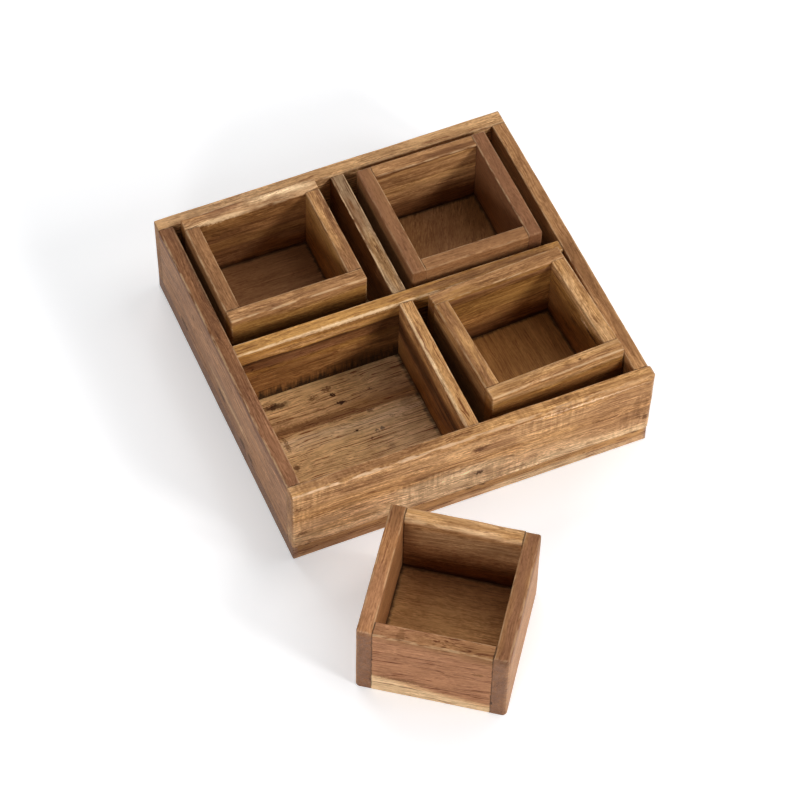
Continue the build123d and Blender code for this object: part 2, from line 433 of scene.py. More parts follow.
def banded(tree, board, place, width, wood):
    """The colour of the bands, and the finer of the two noises that bend them."""
    wobble = spread(tree, noise_mm(tree, place, "wobble"), -1, 1)
    figure = spread(tree, noise_mm(tree, place, "figure"), -1, 1)
    climb = (wood["tilt"] / 100, 1 / width, wood["slant"] / width)
    level = vector(tree, "DOT_PRODUCT", board, climb)
    for shift, amount in ((wobble, wood["wander"]), (figure, FINE_WANDER * wood["wander"])):
        level = scalar(tree, "MULTIPLY_ADD", shift, amount / width, level)
    ramp = add(tree, "ValToRGB", {0: remap(tree, level, -RAMP_ENDS, RAMP_ENDS)})
    stops = ramp.color_ramp.elements
    for index, (tone, share) in enumerate(bands(wood["bands"])):
        stop = stops[index] if index < STOPS_AT_FIRST else stops.new(share)
        stop.position = share
        stop.color = linear(TONES[tone])
    return ramp.outputs["Color"], figure


print("the ramp spans", 2 * RAMP_ENDS, "widths of a board")

# %% [markdown]
# Knots, worm tracks, stains, small splits and pale patches of sapwood all have a place and a size, as do
# some painted shadows and shade in gaps and corners, and a painted highlight. Each is an ellipsoid in
# the board's axes. Its distance field, ruffled by noise, tints the wood.

# %% Marks
FRAY = 0.2  # how far the grain pulls out a mark's outline
SMALL_MARK = 7  # mm; a smaller mark is crisper
MARK_END = 1.15  # where a mark has faded out, in half sizes from its middle
RUFFLE = (5.0, 3.6, 1.6)  # mm that noise shifts the outlines of marks, in all
RUFFLE_SCALE = 0.7  # of that noise, per mm


def ruffled(tree, board, place):
    """Places on the board, shifted a little by noise to all sides."""
    noise = add(tree, "TexNoise", {"Vector": place, "Scale": RUFFLE_SCALE, "Detail": 2.0})
    shifted = vector(tree, "MULTIPLY_ADD", noise.outputs["Color"], RUFFLE, board)
    return vector(tree, "SUBTRACT", shifted, tuple(0.5 * shift for shift in RUFFLE))


def marks_in(text):
    """Reads marks, one to a line: place x y z and half sizes x y z in mm, strength and tone."""
    for line in text.strip().splitlines():
        *numbers, tone = line.split()
        numbers = [float(number) for number in numbers]
        yield numbers[:3], numbers[3:6], numbers[6], tone


def marked(tree, colour, where, figure, marks):
    """Tints the wood at each mark."""
    for centre, half_sizes, strength, tone in marks_in(marks):
        shrunk = vector(tree, "DIVIDE", vector(tree, "SUBTRACT", where, centre), half_sizes)
        reach = scalar(tree, "MULTIPLY_ADD", figure, FRAY, vector(tree, "LENGTH", shrunk))
        full_to = 0.65 if max(half_sizes) < SMALL_MARK else 0.5
        share = remap(tree, reach, full_to, MARK_END, strength, 0)
        colour = tinted(tree, colour, share, linear(TONES[tone]))
    return colour


print("a sample mark:", *marks_in("-36 3.6 3.7  15 3 3  0.7 tan"))

# %% [markdown]
# Growth rings that are cut lengthwise show as streaks, and the fibres between them as lines under a
# millimetre wide. Both only darken and lighten the bands. The dark parts of wood are redder and the
# light parts yellower, so blue swings more than red.

# %% Grain
GRAIN_SWING = (0.85, 1.0, 1.15)  # how much red, green and blue swing
FIBRE_WIDTH = 0.8  # mm
FLECK_SHARE = 0.6  # strength of flecks, as a share of the fibres'
BLOTCH_STRENGTH = 0.12
END_FIBRES = 0.35  # share of the fibres' strength that is left on end grain


def grained(tree, colour, noise, strength, low=0.36, high=0.64):
    """Scales the colour by noise. strength is a number or a socket."""
    swing = scalar(tree, "MULTIPLY", remap(tree, noise, low, high, -1, 0.8), strength)
    gain = vector(tree, "MULTIPLY_ADD", swing, GRAIN_SWING, (1, 1, 1))
    return vector(tree, "MULTIPLY", colour, gain)


def grown(tree, colour, place, end_grain, wood):
    """Adds streaks, fibres and planer marks. Returns the colour, the streaks and the fibres."""
    broad = noise_mm(tree, place, "broad")
    colour = grained(tree, colour, broad, wood["streaks"])
    least, most = 0.45 * wood["fibres"], 1.3 * wood["fibres"]
    shows = remap(tree, noise_mm(tree, place, "shows"), 0.35, 0.65, least, most)
    shows = scalar(tree, "MULTIPLY", shows, remap(tree, end_grain, 0, 1, 1, END_FIBRES))
    fibre = noise_mm(tree, place, (wood["length"], FIBRE_WIDTH, 3.0, 0.6))
    colour = grained(tree, colour, fibre, shows, 0.38, 0.62)
    fleck = noise_mm(tree, place, "fleck")
    colour = grained(tree, colour, fleck, scalar(tree, "MULTIPLY", shows, FLECK_SHARE), 0.38, 0.62)
    blotch = noise_mm(tree, place, "blotch")
    colour = grained(tree, colour, blotch, BLOTCH_STRENGTH, 0.3, 0.7)
    ripple = noise_mm(tree, place, "ripple")
    strength = remap(tree, noise_mm(tree, place, "rippled"), 0.48, 0.6, 0, wood["ripples"])
    return grained(tree, colour, ripple, strength), broad, fibre


# %% Dark lines and pores


def lined(tree, colour, place, wood):
    """Adds long thin dark lines and open pores. Returns the colour, and both as one value.

    The lines come in groups, where the board cuts a ring at a low angle. Real pores are 0.2 mm wide,
    too fine to show, so these are wider."""
    groups = remap(tree, noise_mm(tree, place, "groups"), wood["crowd"], wood["crowd"] + 0.12)
    line = remap(tree, noise_mm(tree, place, (*wood["line"], 1)), 0.57, 0.65, 0, wood["lines"])
    line = scalar(tree, "MULTIPLY", line, groups)
    colour = tinted(tree, colour, line, linear(LINE_TINT), "MULTIPLY")
    pore = remap(tree, noise_mm(tree, place, "pore"), 0.60, 0.68, 0, wood["pores"])
    colour = tinted(tree, colour, pore, linear(PORE_TINT), "MULTIPLY")
    return colour, scalar(tree, "ADD", pore, line)


# %% [markdown]
# Use leaves its own traces. Hands rub the edges pale. End grain drinks more oil, so it is darker and
# greyer. Grime gathers at the foot of the inner walls, where no hand or brush reaches, and the same
# darkening also paints the shade in those corners and on floors beside walls. The mesh says where each
# of these is, and noise makes them patchy.

# %% Wear, grime and painted shade
# The darkest grime, with the painted shade it carries, hides this much of the wood; mould in tufts hides more.
GRIME_AND_SHADE_DEPTH, TUFT_DEPTH = 0.72, 0.9  # how far the darkest grime hides the wood


def used_and_shaded(tree, colour, place, end_grain, wood):
    """Rubs the edges pale, greys the end grain, and adds grime with painted shade."""
    patchy = remap(tree, noise_mm(tree, place, "rubbed"), 0.40, 0.56)
    rubbed = scalar(tree, "MULTIPLY", painted_on(tree, "wear"), patchy)
    colour = tinted(tree, colour, rubbed, linear(TONES[wood["worn"]]))
    colour = tinted(tree, colour, end_grain, linear(END_TINT), "MULTIPLY")
    foot = painted_on(tree, "grime_and_shade")
    ragged = noise_mm(tree, place, "tufts" if wood["tufts"] else "ragged")
    dirt_and_shade = scalar(tree, "ADD", foot, spread(tree, ragged, -0.4, 0.4))
    dirt_and_shade = remap(tree, dirt_and_shade, 0.1, 0.8, 0, TUFT_DEPTH if wood["tufts"] else GRIME_AND_SHADE_DEPTH)
    dirt_and_shade = scalar(tree, "MULTIPLY", dirt_and_shade, remap(tree, foot, 0, 0.2))
    return tinted(tree, colour, dirt_and_shade, linear(GRIME_AND_SHADE))


print("the darkest grime hides", GRIME_AND_SHADE_DEPTH, "of the wood")

# %% [markdown]
# Oil leaves a satin film. The pores and lines stay a little lower than the wood between them, and for
# relief this fine a bump node is enough.

# %% The material
USUAL_WOOD = {
    "tilt": 0,  # how far a band climbs over 100 mm of grain, in shares of the width
    "lean": 0,  # degrees that the grain leans from the board's length
    "slant": 0.5,  # how much a band leans through the thickness
    "wander": 2.5,  # mm that bands wander
    "streaks": 0.22,  # strength of the growth-ring streaks
    "fibres": 0.34,  # strength of the fine grain
    "length": 13,  # mm that a fibre runs
    "line": (24, 0.7),  # how long and wide a long dark line is, in mm
    "lines": 0.35,  # strength of these lines
    "crowd": 0.40,  # lines stand in groups above this, so a low value spreads them evenly
    "pores": 0.3,  # strength of the pores
    "ripples": 0,  # strength of the marks that a blunt planer leaves across the grain
    "marks": "",
    "worn": "straw",  # tone of the rubbed edges
    "tufts": 0,  # 1 where mould at the foot stands in tufts
}
LOG_REACH = 900  # mm: each board is cut from somewhere in a log this large
SWAY = (0, 1.3, 1.3)  # mm that the grain bends
SATIN = (0.44, 0.56)  # roughness
OIL_IOR = 1.48
OIL_SHINE = 0.1  # the film is thin, so it reflects less than a solid
BUMP_STRENGTH = 0.6
BUMP_HEIGHT = 0.15 * MM
NODES_PER_ROW = 10


def oiled_wood(name, size, wood, seed):
    """Oiled acacia for a board of this size in mm."""
    wood = {**USUAL_WOOD, **wood}
    material = bpy.data.materials.new(name)
    tree = empty_tree(material)
    random = np.random.default_rng(seed)
    board = add(tree, "Mapping", {
        "Vector": add(tree, "TexCoord").outputs["Object"], "Scale": (1 / MM, 1 / MM, 1 / MM)}).outputs[0]
    leaning = add(tree, "Mapping", {
        "Vector": board, "Rotation": (0, 0, math.radians(wood["lean"])),
        "Location": tuple(random.uniform(-LOG_REACH, LOG_REACH, 3))}).outputs[0]
    sway = spread(tree, noise_mm(tree, leaning, "sway"), -1, 1)
    place = vector(tree, "MULTIPLY_ADD", sway, SWAY, leaning)

    end_grain = painted_on(tree, "end_grain")
    colour, figure = banded(tree, board, place, float(size[1]), wood)
    colour = marked(tree, colour, ruffled(tree, board, place), figure, wood["marks"])
    colour, broad, fibre = grown(tree, colour, place, end_grain, wood)
    colour, hollow = lined(tree, colour, place, wood)
    colour = used_and_shaded(tree, colour, place, end_grain, wood)

    relief = scalar(tree, "MULTIPLY_ADD", hollow, -1.0, fibre)
    bump = add(tree, "Bump", {"Height": relief, "Strength": BUMP_STRENGTH, "Distance": BUMP_HEIGHT})
    shader = add(tree, "BsdfPrincipled", {
        "Base Color": colour, "Roughness": spread(tree, broad, *SATIN), "IOR": OIL_IOR,
        "Specular IOR Level": OIL_SHINE, "Normal": bump.outputs[0]})
    add(tree, "OutputMaterial", {"Surface": shader.outputs[0]})
    for index, node in enumerate(tree.nodes):
        node.location = (220 * (index % NODES_PER_ROW), -280 * (index // NODES_PER_ROW))
    return material


print(len(USUAL_WOOD), "settings describe the wood of a board")

# %% [markdown]
# ## Making and placing a board
#
# At each corner one wall runs the whole way, as the real corners are butted: it shows its end grain, and
# only its outer corners are rounded. The wall between two others ends in sharp edges, with a thin line
# of dirt in the joint.

# %% The edges of a board
SHARP = 0.08  # mm, the radius of an edge inside a joint
BETWEEN = dict(corner=SHARP)  # a wall between two others


def edges(rim_out=1.1, rim_in=0.8, foot=0.12, corner=1.3, butt=SHARP, wear_out=0.5, wear_in=0.35, uneven=0.1):
    """Says of each edge its radius in mm, how rubbed it is and how its radius varies.

    `along` is the axis that the edge runs along. A pair gives the values at an edge's two ends, or at
    the two ends of the board."""
    def edge_of(along, side_b, side_c):
        if along == 0:  # side_b: rim or foot, side_c: outside or inside
            if side_b < 0:
                return foot, 0.0, 0.1
            return (rim_out, wear_out, uneven) if side_c > 0 else (rim_in, wear_in, uneven)
        end = 0 if side_b < 0 else 1
        outside = side_c > 0
        radius = np.broadcast_to(corner if outside else butt, 2)[end]
        rubbing = 0.6 * np.mean(wear_out) if outside else 0.0
        return (radius if along == 1 else 0.8 * radius), rubbing, 0.06
    return edge_of


def base_edges(open_side):
    """The edges of a base board. open_side is -1 or 1 where its front or back edge is outside."""
    upright, lower, glued = 1.3, 0.7, 0.1  # radii in mm

    def edge_of(along, side_b, side_c):
        if along == 2:
            return (upright if side_c == open_side else glued), 0.0, 0.06
        outside = along == 1 or side_b == open_side
        return (lower if outside and side_c < 0 else glued), 0.0, 0.1
    return edge_of


print("a wall's upper outer edge: radius, rubbing and unevenness", edges()(0, 1, 1))

# %% Grime and painted shade, by height over the floor of the compartment
NEAR_FACE = 0.4  # in shares of the thickness; points past this belong to a face
JOINT_REACH = 0.7  # mm that dirt spreads out of a joint


def grime_and_shade_of(points, size, foot, heights, faces):
    """Grime and painted shade at each point of a wall, darker towards its foot. heights are its reach in mm
    at the two ends, faces the sides that get it: -1 for the inside, 1 for the outside."""
    share = points[:, 0] / size[0] + 0.5
    reach = heights[0] + (heights[1] - heights[0]) * share
    above = points[:, 1] + size[1] / 2 - foot
    dirty_and_shaded = np.isin(np.sign(points[:, 2]), faces) & (np.abs(points[:, 2]) > NEAR_FACE * size[2])
    return np.where(dirty_and_shaded & (above > -0.5), np.clip(1 - above / np.maximum(reach, 0.1), 0, 1), 0)


def joint_of(points, size):
    """Dirt in the joints of a wall whose two ends butt against others."""
    return np.clip(1 - (size[0] / 2 - np.abs(points[:, 0])) / JOINT_REACH, 0, 1)


def floor_grime_and_shade_of(points, size, walls, reach):
    """Grime and painted shade on a floor board. walls are the lines (axis, place in mm) where walls meet it.
    """
    nearest = np.min([np.abs(points[:, axis] - place) for axis, place in walls], axis=0)
    return np.where(points[:, 2] > NEAR_FACE * size[2], np.clip(1 - nearest / reach, 0, 1), 0)


trial_grime_and_shade = grime_and_shade_of(trial_points, TRIAL_SIZE, 0.0, (4, 4), (-1,))
print("share of its points with grime:", (trial_grime_and_shade > 0).mean().round(2))

# %% Boards that aren't quite true


def warp(points, flat, size, corners):
    """Moves corners of a board, and what lies between them in proportion.

    A corner is (its side on each axis, its shift in mm), and side 0 means both sides."""
    for sides, shift in corners:
        weight = np.ones(len(points))
        for axis, side in enumerate(sides):
            weight *= 1.0 if side == 0 else np.clip(0.5 + side * flat[:, axis] / size[axis], 0, 1)
        points += weight[:, None] * np.array(shift)


warped = trial_points.copy()
warp(warped, trial_points, TRIAL_SIZE, [((1, 1, 1), (0, 0, 1.0))])
print("points that move when one corner does:", (warped != trial_points).any(axis=1).sum())

# %% A board as a mesh object
FACE_RIPPLE = 0.04  # mm of unevenness left by the plane
RIPPLE_LENGTH = 38.0  # mm
END_REACH = 0.4  # mm in from the ends that take on the look of end grain


def board_mesh(name, size, edge_of, seed, end_grain, grime_and_shade, corners):
    """The mesh of a board. Its points carry how worn they are, how dark with grime and painted shade, and
    how much end grain they are.
    """
    points, quads = box_skin(size, GRID_STEP)
    flat = points.copy()
    wear = round_edges(points, size, edge_of, seed)
    warp(points, flat, size, corners)
    for axis in range(3):
        ripple = wander(flat, RIPPLE_LENGTH, seed + axis) * FACE_RIPPLE
        points[:, axis] += ripple * flat[:, axis] / (size[axis] / 2)
    mesh = bpy.data.meshes.new(name)
    mesh.from_pydata((points * MM).tolist(), [], quads.tolist())
    mesh.polygons.foreach_set("use_smooth", [True] * len(mesh.polygons))
    on_end = np.clip((np.abs(flat[:, 0]) - size[0] / 2 + END_REACH) / END_REACH, 0, 1) * end_grain
    for attribute, values in (("wear", wear), ("end_grain", on_end), ("grime_and_shade", grime_and_shade(flat, size))):
        layer = mesh.attributes.new(attribute, "FLOAT", "POINT")
        layer.data.foreach_set("value", values.astype(np.float32))
    mesh.update()
    return mesh


def add_board(node, body, side, wood, edge_of, seed, grime_and_shade, end_grain=0.7, corners=(), joint=0.5, **stance):
    """Puts a dressed board in place of a node. joint is how dirty its joints are, if it has any."""
    size, place = board_place(node, side, **stance)
    butted = not side.startswith("lying") and edge_of(1, 1, 1)[0] <= SHARP

    # Grime with painted shade, and the dirt of the joints.
    def dirt_and_shade(points, size):
        dirty_and_shaded = grime_and_shade(points, size)
        return np.maximum(dirty_and_shaded, joint * joint_of(points, size)) if butted else dirty_and_shaded

    mesh = board_mesh(node + "_board", size, edge_of, seed, end_grain, dirt_and_shade, corners)
    board = add_object(node + "_board", mesh)
    board.matrix_world = place
    mesh.materials.append(oiled_wood(node, size, wood, seed))
    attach(board, body)
    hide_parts(node)


# %% [markdown]
# ## The tray
#
# Four walls stand on a base of three glued boards, and three dividers make four bays. Each board has
# its own bands of sapwood and heartwood, and its own marks. A later mark covers an earlier one, so most
# small knots come last.

# %% The tray's woods
BASE_ENDS = "-100 0 0  2.5 80 12  0.9 ash\n100 0 0  2.5 80 12  0.9 ash"

TRAY_WOODS = {
    # The cream mark at 56 18.6 on its face is a painted highlight along the lower side of the wide rounded
    # rim.
    "tray_front_wall": dict(
        bands="wheat 0.05, straw 0.14, wheat 0.3, honey 0.45, golden 0.57, honey 0.7, honey 0.86, "
              "golden 0.92, golden 1",
        tilt=0.05, lean=1.5, ripples=0.2, lines=0.6, fibres=0.42, length=26, worn="cream",
        marks="""
    -56 22.4 -0.8  62 1.6 4.2  0.85 chestnut
    10 22.4 -2.5  30 1.4 2.5  0.6 golden
    -12 -9 3.7  34 9 6  0.9 straw
    -72 -14 3.7  30 5 6  0.7 golden
    -60 20 3.8  50 2.4 1.5  0.5 wheat
    86 3 3.7  34 24 6  0.85 tan
    -62 14 3.7  24 4 6  0.7 chestnut
    -36 3.6 3.7  15 3 3  0.7 tan
    13 9 3.7  13 4 3  0.7 chestnut
    3 -11 3.7  8 3.6 3  0.6 chestnut
    3.4 -11 3.7  2.6 1.5 3  0.9 coffee
    3 9.8 3.7  4 2 3  1 umber
    -94 -11.4 3.7  7 3.4 3  0.6 tan
    -95.2 -11.6 3.7  2.8 1.5 3  0.9 umber
    -96 10.4 3.7  2.4 1.6 3  0.8 umber
    97.5 -12 3.7  2.6 1.7 3  0.9 umber
    56 18.6 3.7  46 0.9 2  0.7 cream
    """),
    # The umber line along its inner top edge (0 22 -4) is dirt and painted shadow where the boxes' rims meet
    # it.
    "tray_back_wall": dict(
        bands="golden 0, tan 0.3, golden 0.6, honey 0.9, honey 0.94, honey 1", lines=0.6,
        marks="""
    30 22 -3  13 2 1.6  0.7 straw
    66 22 1  34 3 5  0.6 wheat
    0 22 -4  150 3 1  0.6 umber
    -70 22 -2  22 3 3  0.5 tan
    """),
    "tray_left_wall": dict(
        bands="driftwood 0, driftwood 0.89, russet 0.93, russet 1", fibres=0.34, pores=0.2, length=20,
        marks="""
    64 22 0  34 4 6  0.3 rose
    -40 22 0  64 3 6  0.6 umber
    -20 18.6 3.7  75 0.5 2  0.5 umber
    15 13.5 3.7  60 0.5 2  0.4 umber
    -8 -18 3.7  16 5 3  0.6 chestnut
    0 -14 3.7  140 9 2  0.35 chestnut
    -32 -17.5 3.7  26 0.9 2  0.8 umber
    -56.3 -19.5 3.7  6 2.6 3  0.8 coffee
    -1.6 -14.3 3.7  6 2 3  0.8 coffee
    27.9 -20.6 3.7  5 2.4 3  0.8 coffee
    37.8 -20.4 3.7  4 2.2 3  0.7 coffee
    -40.6 4.9 3.7  2.4 1.6 3  0.9 umber
    10 -9 3.7  30 3 3  0.5 straw
    """),
    # The coffee mark over its inner face (0 -6 -4.4) is painted shade.
    "tray_right_wall": dict(
        bands="tan 0, golden 0.4, tan 0.85, tan 0.94, chestnut 0.97, tan 1", fibres=0.26, streaks=0.14,
        marks="""
    -16 22 0  24 4 5  0.6 umber
    0 -6 -4.4  140 24 1.5  0.5 coffee
    """),
    # The two coffee marks at -14 and -6 low on its front face paint the shadow at the right end of the front
    # bay.
    "long_divider": dict(
        bands="bark 0.2, bark 0.5, olive 0.58, umber 0.62, umber 0.72, coffee 0.76, ochre 0.785, ochre 0.9, "
              "ochre 0.95, ochre 1",
        slant=0.2, wander=1.3, lines=0.6, fibres=0.3, tufts=1,
        marks="""
    -30 21.3 3.6  60 1.4 1.2  0.8 straw
    -55 15 3.6  36 2.2 3  0.5 honey
    -26 18.6 3.7  27 1.8 1.5  0.8 bark
    50 21.5 0  60 3 3  0.8 chestnut
    -14 -14 3.7  28 9 3  0.8 coffee
    -6 3 3.7  15 17 3  0.8 coffee
    -60 7 3.7  26 3.4 3  0.7 russet
    -84.8 6.3 3.7  1.2 1.2 2  1 coffee
    """),
    "back_divider": dict(
        bands="tan 0, umber 0.4, umber 0.9, moss 0.95, moss 1", lines=0.8,
        marks="""
    -20 21.5 0  24 4 3  0.5 olive
    0 21.6 4  60 2 0.8  0.7 umber
    """),
    "front_divider": dict(
        bands="bark 0, bark 0.3, chestnut 0.45, coffee 0.56, umber 0.64, golden 0.76, tan 0.9, golden 0.95, "
              "golden 1",
        slant=0.2, lines=0.8,
        marks="0 21.6 -3.4  48 1.5 1.8  0.8 straw"),
    "base_front_board": dict(
        bands="golden 0.02, tan 0.05, wheat 0.09, sand 0.2, sand 0.6, sand 0.7, straw 0.8, sand 0.87, "
              "honey 0.92, golden 1",
        lines=0.9, crowd=0.25, line=(36, 0.5), length=40, fibres=0.2, pores=0.15, slant=-1, streaks=0.1,
        marks=f"""
    -80 -33 0  40 3 7  0.6 chestnut
    45 -33 -3  50 3 4  0.9 straw
    -79.4 12 5.2  1.8 2.4 3  0.9 umber
    -28.1 19.1 5.2  1 1 2  1 coffee
    -31.9 19.2 5.2  0.9 1.4 2  1 coffee
    -41.6 22.9 5.2  1.2 0.9 2  1 coffee
    -36.2 15 5.2  1.6 0.8 2  0.9 umber
    -20.6 25.1 5.2  0.8 1.5 2  0.8 umber
    -30 32 5.2  2.2 1.2 3  0.9 umber
    -28 6.4 5.2  2.4 2.4 3  0.5 umber
    -10 29 5.2  4.5 3 3  0.5 umber
    {BASE_ENDS}
    -8 14 5.2  30 40 3  0.35 cream
    -79 28 5.2  1.2 6 2  0.7 umber
    """),
    "base_middle_board": dict(
        bands="olive 0, tan 0.05, golden 0.10, honey 0.16, sand 0.26, sand 0.4, sand 1",
        lines=0.9, crowd=0.3, line=(36, 0.5), length=30, fibres=0.26, pores=0.2, slant=0.2, streaks=0.12,
        marks=f"""
    -74.4 -13.6 5.2  8 2.2 3  0.9 coffee
    -55.5 -15.7 5.2  2.6 1.4 3  0.8 umber
    -44.4 -17.6 5.2  1.8 1.3 2  1 coffee
    -42.5 -23.8 5.2  3 1.2 2  1 coffee
    -45.8 -13 5.2  2.8 1.6 2  0.9 umber
    -24.4 -21.5 5.2  1.4 0.8 2  0.9 coffee
    -19 -23.5 5.2  8 6 3  0.5 amber
    -6 -14 5.2  26 18 3  0.35 cream
    -70 -30 5.2  36 2.4 3  0.8 umber
    -78 -24.5 5.2  10 1.8 3  0.6 umber
    {BASE_ENDS}
    """),
    "base_back_board": dict(bands="tan 0, golden 0.5, tan 1", marks=BASE_ENDS),
}
print(len(TRAY_WOODS), "boards in the tray")

# %% [markdown]
# Handmade walls bow and twist, and this tray's front wall stands proud at its right end. A few shifted
# corners on a board are enough to show it.

# %% The tray's boards
TRAY_WALLS = {
    # node: (side, edges, reach of its grime and painted shade in mm at its two ends, the faces that get it)
    "tray_front_wall": (
        "front", edges(rim_out=(1.2, 3.6), corner=(1.3, 3.2), butt=(SHARP, 2.0), wear_out=(1.0, 0.1),
                       uneven=0.35), (4, 4), (-1,)),
    "tray_back_wall": ("back", edges(corner=1.4), (3, 3), (-1,)),
    "tray_left_wall": ("left", edges(**BETWEEN, rim_out=1.0), (3, 3), (-1,)),
    "tray_right_wall": ("right", edges(**BETWEEN, rim_out=1.0), (3, 3), (-1,)),
    # The long divider's grime is mould at its foot; its reach grows towards the right, where it also paints
    # the shade beside the front divider.
    "long_divider": (
        "front", edges(**BETWEEN, rim_out=1.2, rim_in=0.6, wear_out=0.9, wear_in=0.7), (8, 18), (1,)),
    "back_divider": (
        "right", edges(**BETWEEN, rim_out=0.6, rim_in=0.6, wear_out=0.9, wear_in=1.0), (3, 3), (-1, 1)),
    "front_divider": ("right", edges(**BETWEEN, rim_out=1.2, wear_out=0.7, wear_in=0.5), (4, 4), (-1, 1)),
}
BASE_BOARDS = {"base_front_board": -1, "base_middle_board": 0, "base_back_board": 1}  # their open sides
OUT_OF_TRUE = {
    # node: (corner, shift in mm), in the board's axes
    "tray_back_wall": (((-1, 1, 1), (0, 0, 1.6)), ((1, 1, 0), (0.8, 0, 0)), ((-1, 1, 0), (-0.3, 0, 0))),
    "tray_left_wall": (((-1, 1, 1), (0, 0, 0.8)),),
    "tray_front_wall": (((1, 1, 0), (0.9, 0, 0)), ((1, 0, 0), (1.3, 0, 0))),
    "tray_right_wall": (((0, 1, 1), (0, 0, 0.2)), ((-1, 0, 1), (0, 0, 0.3))),
}
# The floor darkens beside the walls: grime, and painted shade where the walls shade it.
FLOOR_WALLS = [(0, -92.5), (0, -2.0), (0, 5.6), (0, 92.5)]  # where walls meet the tray's floor
FLOOR_REACH = 2.5  # mm that grime spreads on it


def floor_grime_and_shade(points, size):
    """Grime and painted shade on the tray's floor."""
    return floor_grime_and_shade_of(points, size, FLOOR_WALLS, FLOOR_REACH)


for seed, (node, wood) in enumerate(TRAY_WOODS.items(), 1):
    if node in BASE_BOARDS:
        add_board(node, "tray", "lying", wood, base_edges(BASE_BOARDS[node]), seed, floor_grime_and_shade)
    else:
        side, edge_of, heights, faces = TRAY_WALLS[node]
        grime_and_shade = lambda points, size: grime_and_shade_of(points, size, 0.0, heights, faces)
        add_board(node, "tray", side, wood, edge_of, seed, grime_and_shade, corners=OUT_OF_TRUE.get(node, ()))
print(len(OUT_OF_TRUE), "of the tray's walls aren't true")

# %% [markdown]
# ## The boxes
#
# Each box has four walls around a bottom board. On two of them the front and back walls run the whole
# way, on the others the left and right walls do. The loose box is the most worn, so its corners are
# rounder and its joints darker.

